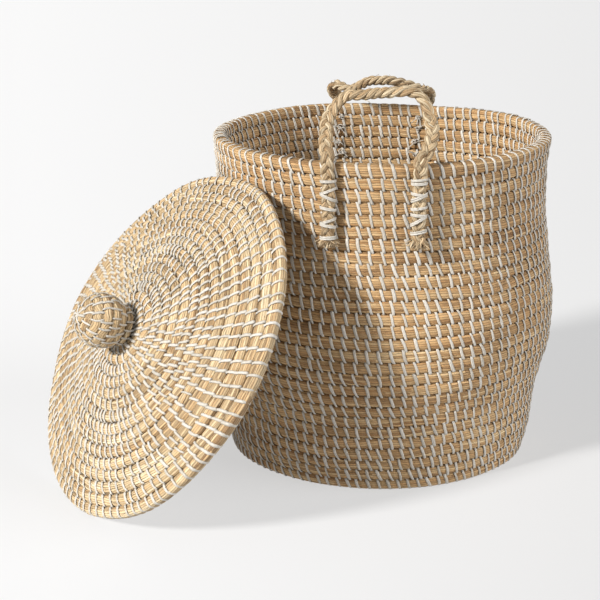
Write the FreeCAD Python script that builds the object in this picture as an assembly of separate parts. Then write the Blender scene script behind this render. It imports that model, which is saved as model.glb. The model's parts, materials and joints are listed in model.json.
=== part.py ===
import FreeCAD, Part
import math
import os

# Lidded storage basket of coiled seagrass, with two braided rope handles.
# Frame: millimetres, +Z up, origin at the centre of the underside, front towards -Y.
# The lid is off and leans against the front left of the basket.

V = FreeCAD.Vector
Z_AXIS = V(0, 0, 1)
FULL_TURN = 360

# Coiled wall, whose rows thicken evenly from the foot to the rim
BASKET_HEIGHT = 394.2
WALL_ROWS = 28
FOOT_ROW_HEIGHT = 13.6
ROW_GROWTH = 2 * (BASKET_HEIGHT / WALL_ROWS - FOOT_ROW_HEIGHT) / (WALL_ROWS - 1)
GROOVE_RATIO = 0.5
WALL_STATIONS = (
    (0, 184.0),
    (35, 193.0),
    (93, 200.0),
    (140, 212.0),
    (190, 215.5),
    (245, 209.5),
    (300, 203.5),
    (350, 202.8),
    (394.2, 206.0),
)

# Coiled base
BASE_GAP = 0.8
BASE_ROWS = 12

# Braided handles. A loop's corners are (distance along the hinge line, reach from it).
HANDLE_SPACING = 102.0
FRONT_LOOP = ((-51, 0), (-57, 42), (-36, 76), (50, 77), (64, 40), (51, 0))
FRONT_BENDS = (40, 20, 22, 40)
BACK_LOOP = ((-51, 0), (-70, 46), (-50, 72), (50, 72), (70, 46), (51, 0))
BACK_BENDS = (20, 16, 16, 20)
BRAID_RADIUS = 6.0
BRAID_WIDTH = 16.0
BRAID_THICKNESS = 11.0
HINGE_HEIGHT = BASKET_HEIGHT + BRAID_RADIUS + 0.8
HINGE_RADIUS = 206.0
HINGE_GAP = 0.3
LEG_FOOT_HEIGHT = 308.0
FRAYED_END_HEIGHT = 14.0
FRAYED_END_WIDTH = 19.0
FRONT_AZIMUTH = -92.9
BACK_AZIMUTH = 90.0
FRONT_LEAN = 28.0
BACK_LEAN = 64.0

# White cord lashings that sew the handle legs to the wall
CORD_RADIUS = 1.2
LASHING_HEIGHTS = (375, 362, 349, 337, 324, 312)
LASHING_GAP = 0.3
KNOT_RADIUS = 3.2
KNOT_ROWS_DOWN = (1, 2, 4)

# Coiled lid, as a shallow dome that stands a little outside the rim
LID_RADIUS = 210.5
LID_ROWS = 16
LID_COIL_RADIUS = 6.6
LID_RISE = 47.0
LID_CURVE = 1.5

# Coiled ball knob
KNOB_RADIUS = 31.0
KNOB_CENTRE_HEIGHT = 83.0
KNOB_ROWS = 6
KNOB_NECK_RADIUS = 24.0
KNOB_NECK_BORE = 12.0
KNOB_WALL = 10.0
KNOB_BASE_HEIGHT = 62.0
FIT_GAP = 0.2

# Where the lid leans
LID_TILT = 58.4
LID_FACING = -147.0
LID_CENTRE_AZIMUTH = -143.0
LID_CENTRE_DISTANCE = 317.2
LID_FLOOR_GAP = 0.1


def wall_radius(height):
    """Outer radius of the wall at a height, smooth through the stations."""
    stations = WALL_STATIONS
    last = len(stations) - 1
    span = 0
    while span < last - 1 and height > stations[span + 1][0]:
        span += 1
    z0, r0 = stations[span]
    z1, r1 = stations[span + 1]
    z_before, r_before = stations[max(span - 1, 0)]
    z_after, r_after = stations[min(span + 2, last)]
    slope0 = (r1 - r_before) / (z1 - z_before)
    slope1 = (r_after - r0) / (z_after - z0)
    length = z1 - z0
    t = (height - z0) / length
    rise = r0 * (2 * t ** 3 - 3 * t ** 2 + 1) + r1 * (3 * t ** 2 - 2 * t ** 3)
    ease = slope0 * (t ** 3 - 2 * t ** 2 + t) + slope1 * (t ** 3 - t ** 2)
    return rise + ease * length


def row_half(row):
    """Half the thickness of one wall row's coil."""
    return (FOOT_ROW_HEIGHT + row * ROW_GROWTH) / 2


def row_centre(row):
    """Centre of one wall row's coil, in the half plane y = 0."""
    groove_below = row * FOOT_ROW_HEIGHT + row * (row - 1) / 2 * ROW_GROWTH
    height = groove_below + row_half(row)
    return V(wall_radius(height) - row_half(row), 0, height)


def normal_between(start, end):
    """Unit normal of a run of coil centres, on its outer side."""
    along = (end - start).normalize()
    return V(along.z, 0, -along.x)


def grooves(centres, halves, side):
    """The groove between each two neighbouring rows, on one side of the coil."""
    points = []
    for row in range(len(centres) - 1):
        start = centres[row]
        end = centres[row + 1]
        share = halves[row] / (halves[row] + halves[row + 1])
        depth = GROOVE_RATIO * (halves[row] + halves[row + 1]) / 2
        seam = start + (end - start) * share
        points.append(seam + normal_between(start, end) * depth * side)
    return points


def crest(centres, halves, row, side):
    """The proudest point of one row, on one side of the coil."""
    before = centres[max(row - 1, 0)]
    after = centres[min(row + 1, len(centres) - 1)]
    return centres[row] + normal_between(before, after) * halves[row] * side


def arc(start, middle, end):
    return Part.Arc(start, middle, end).toShape()


def line(start, end):
    return Part.LineSegment(start, end).toShape()


def revolve(edges):
    """Turn a closed outline in the half plane y = 0 about the Z axis."""
    face = Part.Face(Part.Wire(edges))
    return face.revolve(V(0, 0, 0), Z_AXIS, FULL_TURN)


def scallops(centres, halves, side, first, last):
    """One bulge for each row from first to last, between its two grooves."""
    notch = grooves(centres, halves, side)
    edges = []
    for row in range(first, last + 1):
        edges.append(arc(notch[row - 1], crest(centres, halves, row, side), notch[row]))
    return edges, notch


def wall_rows():
    """Coil centres and half thicknesses of all the wall's rows, from the foot up."""
    rows = range(WALL_ROWS)
    return [row_centre(row) for row in rows], [row_half(row) for row in rows]


def wall_coil():
    """All wall rows but the rim, as one sewn coil with a rounded foot."""
    centres, halves = wall_rows()
    last = WALL_ROWS - 2
    outer, outer_notch = scallops(centres, halves, 1, 1, last)
    inner, inner_notch = scallops(centres, halves, -1, 1, last)
    foot = centres[0] - Z_AXIS * halves[0]
    round_foot = arc(inner_notch[0], foot, outer_notch[0])
    top_seam = line(outer_notch[last], inner_notch[last])
    return revolve([round_foot] + outer + [top_seam] + inner[::-1])


def rim_coil():
    """The last row, which closes the top edge."""
    centres, halves = wall_rows()
    outer = grooves(centres, halves, 1)[-1]
    inner = grooves(centres, halves, -1)[-1]
    top = centres[-1] + Z_AXIS * halves[-1]
    return revolve([arc(inner, top, outer), line(outer, inner)])


def base_coil():
    """Flat round base, its rows scalloped inside and pressed flat underneath."""
    outer_radius = row_centre(0).x - row_half(0) - BASE_GAP
    pitch = outer_radius / BASE_ROWS
    thickness = 2 * row_half(0)
    notch_height = thickness - row_half(0) * (1 - GROOVE_RATIO)
    edges = [line(V(0, 0, 0), V(outer_radius, 0, 0))]
    edges.append(line(V(outer_radius, 0, 0), V(outer_radius, 0, notch_height)))
    for row in range(BASE_ROWS, 1, -1):
        start = V(row * pitch, 0, notch_height)
        middle = V((row - 0.5) * pitch, 0, thickness)
        end = V((row - 1) * pitch, 0, notch_height)
        edges.append(arc(start, middle, end))
    edges.append(line(V(pitch, 0, notch_height), V(0, 0, notch_height)))
    edges.append(line(V(0, 0, notch_height), V(0, 0, 0)))
    return revolve(edges)


def pipe_run(start, end, radius):
    run = end - start
    return Part.makeCylinder(radius, run.Length, start, run)


def pipe_bend(centre, start, end, radius):
    """A round bend from start to end about a centre, shorter than half a turn."""
    spoke0 = start - centre
    spoke1 = end - centre
    axis = spoke0.cross(spoke1)
    turn = math.degrees(spoke0.getAngle(spoke1))
    tangent = axis.cross(spoke0)
    disc = Part.Face(Part.Wire(Part.makeCircle(radius, start, tangent)))
    return disc.revolve(centre, axis, turn)


def rounded_pipe(points, bend_radii, radius):
    """A round bar along straight runs joined by tangent bends."""
    solids = []
    position = points[0]
    for before, corner, after, bend in zip(points, points[1:], points[2:], bend_radii):
        back = (before - corner).normalize()
        ahead = (after - corner).normalize()
        half_angle = back.getAngle(ahead) / 2
        setback = bend / math.tan(half_angle)
        enter = corner + back * setback
        leave = corner + ahead * setback
        middle = corner + (back + ahead).normalize() * (bend / math.sin(half_angle))
        solids.append(pipe_run(position, enter, radius))
        solids.append(pipe_bend(middle, enter, leave, radius))
        position = leave
    solids.append(pipe_run(position, points[-1], radius))
    return solids[0].multiFuse(solids[1:]).removeSplitter()


def handle_arch(loop, bends, lean):
    """The free loop of one handle at azimuth 0, leaning inwards from its hinge line."""
    route = [V(HINGE_RADIUS, across, reach) for across, reach in loop]
    arch = rounded_pipe(route, bends, BRAID_RADIUS)
    knuckles = []
    for side in (-1, 1):
        start = V(HINGE_RADIUS, side * HANDLE_SPACING / 2 - BRAID_WIDTH / 2, 0)
        knuckles.append(Part.makeCylinder(BRAID_RADIUS, BRAID_WIDTH, start, V(0, 1, 0)))
    arch = arch.multiFuse(knuckles)
    arch.translate(V(0, 0, HINGE_HEIGHT))
    arch.rotate(V(HINGE_RADIUS, 0, HINGE_HEIGHT), V(0, 1, 0), -lean)
    return arch


def rounded_bar(radius, y_centre, width, thickness, z_low, z_high):
    """An upright bar with rounded edges, flat against the wall at azimuth 0."""
    bar = Part.makeBox(
        thickness,
        width,
        z_high - z_low,
        V(radius - thickness / 2, y_centre - width / 2, z_low),
    )
    upright = [edge for edge in bar.Edges if abs(edge.tangentAt(edge.FirstParameter).z) > 0.9]
    return bar.makeFillet(thickness * 0.4, upright)


def handle_leg(side):
    """The sewn-down leg of one handle, with its frayed end, at azimuth 0."""
    y_centre = side * HANDLE_SPACING / 2
    top = HINGE_HEIGHT - BRAID_RADIUS - HINGE_GAP
    braid = rounded_bar(
        leg_radius(), y_centre, BRAID_WIDTH, BRAID_THICKNESS, LEG_FOOT_HEIGHT, top
    )
    frayed = rounded_bar(
        leg_radius(),
        y_centre,
        FRAYED_END_WIDTH,
        BRAID_THICKNESS,
        LEG_FOOT_HEIGHT - FRAYED_END_HEIGHT,
        LEG_FOOT_HEIGHT,
    )
    return braid.fuse(frayed)


def leg_radius():
    """Distance of the leg's middle from the basket's axis plane, clear of the wall."""
    inner_edge = HANDLE_SPACING / 2 - FRAYED_END_WIDTH / 2
    wall_face = math.sqrt(wall_radius(BASKET_HEIGHT) ** 2 - inner_edge ** 2)
    return wall_face + LASHING_GAP + BRAID_THICKNESS / 2


def lashing_wrap(y_centre, height):
    """One turn of cord over the front of a leg, down to the wall on both sides."""
    half = BRAID_WIDTH / 2 + CORD_RADIUS + LASHING_GAP
    front = leg_radius() + BRAID_THICKNESS / 2 + CORD_RADIUS + LASHING_GAP
    ends = []
    for edge in (-half, half):
        reach = abs(y_centre + edge) + CORD_RADIUS
        wall_face = math.sqrt((wall_radius(height) + LASHING_GAP) ** 2 - (reach - 2 * CORD_RADIUS) ** 2)
        ends.append(V(wall_face, y_centre + edge, height))
    left = V(front, y_centre - half, height)
    right = V(front, y_centre + half, height)
    return rounded_pipe([ends[0], left, right, ends[1]], [2.5, 2.5], CORD_RADIUS)


def lashing_knot(y_centre, rows_down):
    """One knot of the lashing cord, on a row's crest inside the wall."""
    row = WALL_ROWS - 1 - rows_down
    centre = row_centre(row)
    inside = centre.x - row_half(row) - KNOT_RADIUS - LASHING_GAP
    x_knot = math.sqrt(inside ** 2 - y_centre ** 2)
    return Part.makeSphere(KNOT_RADIUS, V(x_knot, y_centre, centre.z))


def handle_lashing(side):
    """The wraps outside and the knots inside that hold one leg to the wall."""
    y_centre = side * HANDLE_SPACING / 2
    wraps = [lashing_wrap(y_centre, height) for height in LASHING_HEIGHTS]
    knots = [lashing_knot(y_centre, rows_down) for rows_down in KNOT_ROWS_DOWN]
    return Part.makeCompound(wraps + knots)


def lid_height(radius):
    """Height of the lid's coil centres above its edge row."""
    edge = LID_RADIUS - LID_COIL_RADIUS
    return LID_RISE * (1 - (radius / edge) ** LID_CURVE)


def lid_centres():
    """Coil centres of the lid's rows, from the edge to the middle."""
    edge = LID_RADIUS - LID_COIL_RADIUS
    radii = [edge * (1 - row / LID_ROWS) for row in range(LID_ROWS)]
    return [V(radius, 0, lid_height(radius)) for radius in radii] + [V(0, 0, lid_height(0))]


def lid_coil():
    """The lid's dome, scalloped on both sides and open underneath."""
    centres = lid_centres()
    halves = [LID_COIL_RADIUS] * len(centres)
    last = LID_ROWS - 1
    top, top_notch = scallops(centres, halves, -1, 1, last)
    under, under_notch = scallops(centres, halves, 1, 1, last)
    tip = centres[0] + (centres[0] - centres[1]).normalize() * LID_COIL_RADIUS
    edge_row = arc(under_notch[0], tip, top_notch[0])
    top_pole = V(0, 0, LID_RISE + LID_COIL_RADIUS * GROOVE_RATIO)
    under_pole = V(0, 0, LID_RISE - LID_COIL_RADIUS * GROOVE_RATIO)
    button = [
        line(top_notch[last], top_pole),
        line(top_pole, under_pole),
        line(under_pole, under_notch[last]),
    ]
    return revolve([edge_row] + top + button + under[::-1])


def knob_neck():
    """The ring row that the ball knob stands on."""
    low = LID_RISE + LID_COIL_RADIUS + FIT_GAP
    middle_radius = (KNOB_NECK_RADIUS + KNOB_NECK_BORE) / 2
    outer = arc(
        V(middle_radius, 0, low),
        V(KNOB_NECK_RADIUS, 0, (low + KNOB_BASE_HEIGHT) / 2),
        V(middle_radius, 0, KNOB_BASE_HEIGHT),
    )
    inner = arc(
        V(middle_radius, 0, KNOB_BASE_HEIGHT),
        V(KNOB_NECK_BORE, 0, (low + KNOB_BASE_HEIGHT) / 2),
        V(middle_radius, 0, low),
    )
    return revolve([outer, inner])


def ball_point(angle, radius):
    """A point of the ball knob's section, with the angle measured from its pole."""
    x = radius * math.sin(angle)
    z = KNOB_CENTRE_HEIGHT + radius * math.cos(angle)
    return V(x, 0, z)


def knob_coil():
    """The hollow ball, coiled from its open foot to its pole."""
    foot_drop = KNOB_BASE_HEIGHT + FIT_GAP - KNOB_CENTRE_HEIGHT
    foot_angle = math.acos(foot_drop / KNOB_RADIUS)
    step = foot_angle / KNOB_ROWS
    notch_radius = KNOB_RADIUS - 1.6
    inner_radius = KNOB_RADIUS - KNOB_WALL
    edges = []
    for row in range(KNOB_ROWS):
        start = ball_point(row * step, notch_radius)
        middle = ball_point((row + 0.5) * step, KNOB_RADIUS)
        end = ball_point((row + 1) * step, notch_radius)
        edges.append(arc(start, middle, end))
    foot_outer = ball_point(foot_angle, notch_radius)
    foot_inner = ball_point(foot_angle, inner_radius)
    inside = arc(foot_inner, ball_point(foot_angle / 2, inner_radius), ball_point(0, inner_radius))
    edges.append(line(foot_outer, foot_inner))
    edges.append(inside)
    edges.append(line(ball_point(0, inner_radius), ball_point(0, notch_radius)))
    return revolve(edges)


def knob_core():
    """The wad of seagrass that fills the ball."""
    return Part.makeSphere(KNOB_RADIUS - KNOB_WALL - FIT_GAP, V(0, 0, KNOB_CENTRE_HEIGHT))


def lean_lid(shape):
    """Move a lid piece from its own upright frame to where the lid leans."""
    tilt = math.radians(LID_TILT)
    edge = LID_RADIUS - LID_COIL_RADIUS
    azimuth = math.radians(LID_CENTRE_AZIMUTH)
    centre = V(
        LID_CENTRE_DISTANCE * math.cos(azimuth),
        LID_CENTRE_DISTANCE * math.sin(azimuth),
        edge * math.sin(tilt) + LID_COIL_RADIUS + LID_FLOOR_GAP,
    )
    placed = shape.copy()
    placed.rotate(V(0, 0, 0), V(0, 1, 0), LID_TILT)
    placed.rotate(V(0, 0, 0), Z_AXIS, LID_FACING)
    placed.translate(centre)
    return placed


def turn_to(shape, azimuth):
    placed = shape.copy()
    placed.rotate(V(0, 0, 0), Z_AXIS, azimuth)
    return placed


def build():
    """Every sub-part by its node name."""
    parts = {
        "base_coil": base_coil(),
        "wall_coil": wall_coil(),
        "rim_coil": rim_coil(),
        "lid_coil": lean_lid(lid_coil()),
        "knob_neck": lean_lid(knob_neck()),
        "knob_coil": lean_lid(knob_coil()),
        "knob_core": lean_lid(knob_core()),
    }
    handles = (
        ("front", FRONT_AZIMUTH, handle_arch(FRONT_LOOP, FRONT_BENDS, FRONT_LEAN)),
        ("back", BACK_AZIMUTH, handle_arch(BACK_LOOP, BACK_BENDS, BACK_LEAN)),
    )
    for place, azimuth, arch in handles:
        parts[place + "_handle_arch"] = turn_to(arch, azimuth)
        for end, side in (("left", -1), ("right", 1)):
            name = place + "_" + end
            parts[name + "_leg"] = turn_to(handle_leg(side), azimuth)
            parts[name + "_lashing"] = turn_to(handle_lashing(side), azimuth)
    return parts


os.makedirs("parts", exist_ok=True)
for node, shape in build().items():
    shape.exportStep("parts/" + node + ".step")
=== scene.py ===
import json
import math

import bpy
import numpy as np
from mathutils import Matrix, Vector


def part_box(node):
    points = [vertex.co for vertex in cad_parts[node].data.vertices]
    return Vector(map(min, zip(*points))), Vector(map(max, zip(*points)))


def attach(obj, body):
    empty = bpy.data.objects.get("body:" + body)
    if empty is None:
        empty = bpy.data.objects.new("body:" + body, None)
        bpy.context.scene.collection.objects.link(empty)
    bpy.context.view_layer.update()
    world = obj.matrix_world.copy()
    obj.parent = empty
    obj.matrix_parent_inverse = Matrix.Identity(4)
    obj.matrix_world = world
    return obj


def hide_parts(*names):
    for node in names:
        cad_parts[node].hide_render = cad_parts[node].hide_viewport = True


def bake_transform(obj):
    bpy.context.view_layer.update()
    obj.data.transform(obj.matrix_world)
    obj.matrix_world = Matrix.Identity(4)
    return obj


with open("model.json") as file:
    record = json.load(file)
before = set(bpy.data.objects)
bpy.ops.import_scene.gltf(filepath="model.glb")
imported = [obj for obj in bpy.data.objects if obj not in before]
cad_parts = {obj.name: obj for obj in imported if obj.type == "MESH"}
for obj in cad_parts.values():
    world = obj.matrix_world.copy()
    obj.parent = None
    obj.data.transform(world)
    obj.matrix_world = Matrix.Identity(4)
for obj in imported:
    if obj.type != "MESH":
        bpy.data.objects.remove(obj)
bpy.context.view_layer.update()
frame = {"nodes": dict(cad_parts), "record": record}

# The looks of a lidded basket of coiled seagrass. Metres, in the CAD model's frame.
TURN = 2 * math.pi
MM = 0.001

# Coils. A power squares a section's corners. Rows press into their neighbours, and are a
# little thinner than the CAD coil.
WALL_ROWS = 28
FOOT_ROW = 13.6 * MM
WALL_STITCHES = 96
STEPS_PER_STITCH = 6
ROWS_PER_PIECE = 4
BASE_ROWS = 12
LID_ROWS = 16
LID_CURVE = 1.5
LID_COIL = 6.6 * MM
KNOB_ROWS = 6
COIL_POWER = 3.3
LID_POWER = 2.7
ROW_PRESS = 1.04
ROW_THIN = 0.97
LID_FIRST_STITCHES = 11
LID_CUTS = (9, 12, 14)
KNOB_COIL = 5.4 * MM
NECK_STITCHES = 14
BLADE_WIDTH = 2.8 * MM
BLADE_RELIEF = 0.34 * MM

# White sewing cord: sizes, the pitch of its ridges, how far along the coil a stitch dents it,
# the space between stitches on base and knob, and how far a stitch leans
CORD_WIDTH = 3.45 * MM
CORD_THICKNESS = 1.5 * MM
LID_CORD = {"width": 3.6 * MM, "thick": 1.75 * MM, "bite": 0.84}
KNOB_CORD = {"width": 2.9 * MM}
NECK_CORD = {"width": 2.7 * MM}
CORD_RIDGE = 5.2 * MM
DENT_REACH = 2.6 * MM
BASE_STITCH = 12 * MM
KNOB_STITCH = 9.5 * MM
WALL_LEAN = 4.4 * MM
LID_LEAN = 3.8 * MM
LID_SWIRL = 0.3

# The lid's far edge is bent up a little, and its knob leans
LID_WARP = 7 * MM
LID_WARP_TURN = math.radians(171)
LID_WARP_SPREAD = math.radians(25)
KNOB_TILT = math.radians(9)
KNOB_LEVER = 34 * MM

# Light: the suns, the sky, and the floor's colour and its own glow at the left and right
KEY = 5.7
FILL = 2.4
OVERHEAD = 0.35
WORLD = 0.13
FLOOR = (0.24, 0.24, 0.242, 1)
GLOW = (0.61, 0.475)
FLOOR_REACH = 60.0
FLOOR_DROP = 0.4 * MM

# Camera
FOCAL_LENGTH = 99.27
SENSOR_WIDTH = 36
CAMERA_PLACE = (-0.030, -2.0, 0.766)
CAMERA_YAW = -0.0345
CAMERA_PITCH = 0.286

# Plaited handles
STRAND_PERIOD = 31 * MM
STRAND_TWIST = 55 * MM
STRAND_BLADES = 7
PLAIT_FLAT = 4.7 * MM
PLAIT_DEPTH = 2.3 * MM
PLAIT_ROPE = 3.3 * MM
PLAIT_STEPS = 560
STRAY_BLADES = 90
TUFT_STRANDS = 200
FOLD_SPREAD = 13

# Lashings: how far they reach beside and before a leg's middle, and their knots' heights in mm
LASHING_SIDE = 8.9 * MM
LASHING_FRONT = 6.9 * MM
KNOT_HEIGHTS = (377, 362, 345, 330)


# ---------------------------------------------------------------- meshes

# A quad's corners, as steps along and around
QUAD_CORNERS = ((0, 0), (0, 1), (1, 1), (1, 0))


class Gather:
    """Collects grids of quads, with a coil coordinate on each face corner, for one piece."""

    def __init__(self):
        self.verts, self.quads, self.corners, self.crease_shade_masks = [], [], [], []
        self.count = 0

    def add(self, verts, quads, corners, crease_shade_mask):
        self.verts.append(verts.reshape(-1, 3))
        self.quads.append(quads + self.count)
        self.corners.append(corners.reshape(-1, 3))
        self.crease_shade_masks.append(np.broadcast_to(crease_shade_mask, verts.shape[:-1]).ravel())
        self.count += verts.size // 3

    def tube(self, points, along, around, seed, crease_shade_mask=0.0, ring=True):
        """One tube over points (n, m, 3), closed around, and along too if it's a ring."""
        n, m = points.shape[:2]
        spans = n if ring else n - 1
        i = np.arange(spans)[:, None]
        j = np.arange(m)[None, :]
        i2, j2 = (i + 1) % n, (j + 1) % m
        quads = np.stack([i * m + j, i * m + j2, i2 * m + j2, i2 * m + j], -1)
        shape = (spans, m)
        b = np.broadcast_to(around, (spans + 1, m + 1))
        corner = np.empty(shape + (4, 3), np.float32)
        corner[..., 2] = seed
        for c, (di, dj) in enumerate(QUAD_CORNERS):
            corner[..., c, 0] = along[di : di + spans, None]
            corner[..., c, 1] = b[di : di + spans, dj : dj + m]
        quads = quads.reshape(-1, 4)
        corner = corner.reshape(-1, 4, 3)
        if not ring:
            cap = np.concatenate([cap_quads(0, m, False), cap_quads((n - 1) * m, m, True)])
            quads = np.concatenate([quads, cap])
            flat = np.zeros((len(cap), 4, 3), np.float32)
            flat[..., 2] = seed
            corner = np.concatenate([corner, flat])
        self.add(points, quads, corner, crease_shade_mask)

    def tubes(self, points, along, seeds):
        """Many open tubes alike, points (k, n, m, 3), along (k, n)."""
        k, n, m = points.shape[:3]
        i = np.arange(n - 1)[:, None]
        j = np.arange(m)[None, :]
        j2 = (j + 1) % m
        side = np.stack([i * m + j, i * m + j2, (i + 1) * m + j2, (i + 1) * m + j], -1)
        side = side.reshape(-1, 4)
        cap = np.concatenate([cap_quads(0, m, False), cap_quads((n - 1) * m, m, True)])
        one = np.concatenate([side, cap])
        quads = (one[None] + (np.arange(k) * n * m)[:, None, None]).reshape(-1, 4)
        corner = np.zeros((k, len(one), 4, 3), np.float32)
        corner[..., 2] = seeds[:, None, None]
        grid = corner[:, : len(side)].reshape(k, n - 1, m, 4, 3)
        for c, (di, dj) in enumerate(QUAD_CORNERS):
            grid[..., c, 0] = along[:, di : di + n - 1, None]
            grid[..., c, 1] = (np.arange(m) + dj) / m
        self.add(points, quads, corner, 0.0)

    def piece(self, name, material, body, slot, replaced=()):
        mesh = bpy.data.meshes.new(name)
        verts = np.concatenate(self.verts).astype(np.float32)
        quads = np.concatenate(self.quads).astype(np.int32)
        mesh.vertices.add(len(verts))
        mesh.vertices.foreach_set("co", verts.ravel())
        mesh.loops.add(quads.size)
        mesh.loops.foreach_set("vertex_index", quads.ravel())
        mesh.polygons.add(len(quads))
        mesh.polygons.foreach_set("loop_start", np.arange(0, quads.size, 4, dtype=np.int32))
        mesh.update(calc_edges=True)
        mesh.shade_smooth()
        corner = mesh.attributes.new("coil", "FLOAT_VECTOR", "CORNER")
        corner.data.foreach_set("vector", np.concatenate(self.corners).astype(np.float32).ravel())
        crease_shade_mask = mesh.attributes.new("crease_shade_mask", "FLOAT", "POINT")
        crease_shade_mask.data.foreach_set("value", np.concatenate(self.crease_shade_masks).astype(np.float32))
        mesh.materials.append(material)
        obj = bpy.data.objects.new(name, mesh)
        bpy.context.scene.collection.objects.link(obj)
        if replaced:
            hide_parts(*replaced)
        if body:
            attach(obj, body)
        return obj


def cap_quads(start, m, flip):
    """Quads that close one ring of an even number of points."""
    quads = [(j, j + 1, m - 2 - j, m - 1 - j) for j in range(m // 2 - 1)]
    quads = np.array(quads) + start
    return quads if flip else quads[:, ::-1]


def unit(v):
    return v / np.maximum(np.linalg.norm(v, axis=-1, keepdims=True), 1e-12)


def waves(rng, count, lowest=1, fall=1.0):
    """A smooth random curve over one turn, as a function of the angle."""
    freq = np.arange(lowest, lowest + count)
    size = rng.normal(size=count) / freq**fall
    phase = rng.uniform(0, TURN, count)
    size /= np.sqrt((size**2).sum() / 2) + 1e-9
    return lambda a: (size * np.sin(np.multiply.outer(a, freq) + phase)).sum(-1)


# ---------------------------------------------------------------- rows of coil

# The section's angles: its crest, inner face, foot and outer face
CREST = math.pi / 2
INNER_FACE = np.radians(np.arange(110, 251, 10))
OUTER_FACE = np.radians(np.arange(290, 431, 7))
SECTION = np.concatenate([[CREST], INNER_FACE, [math.radians(270)], OUTER_FACE])


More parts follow.
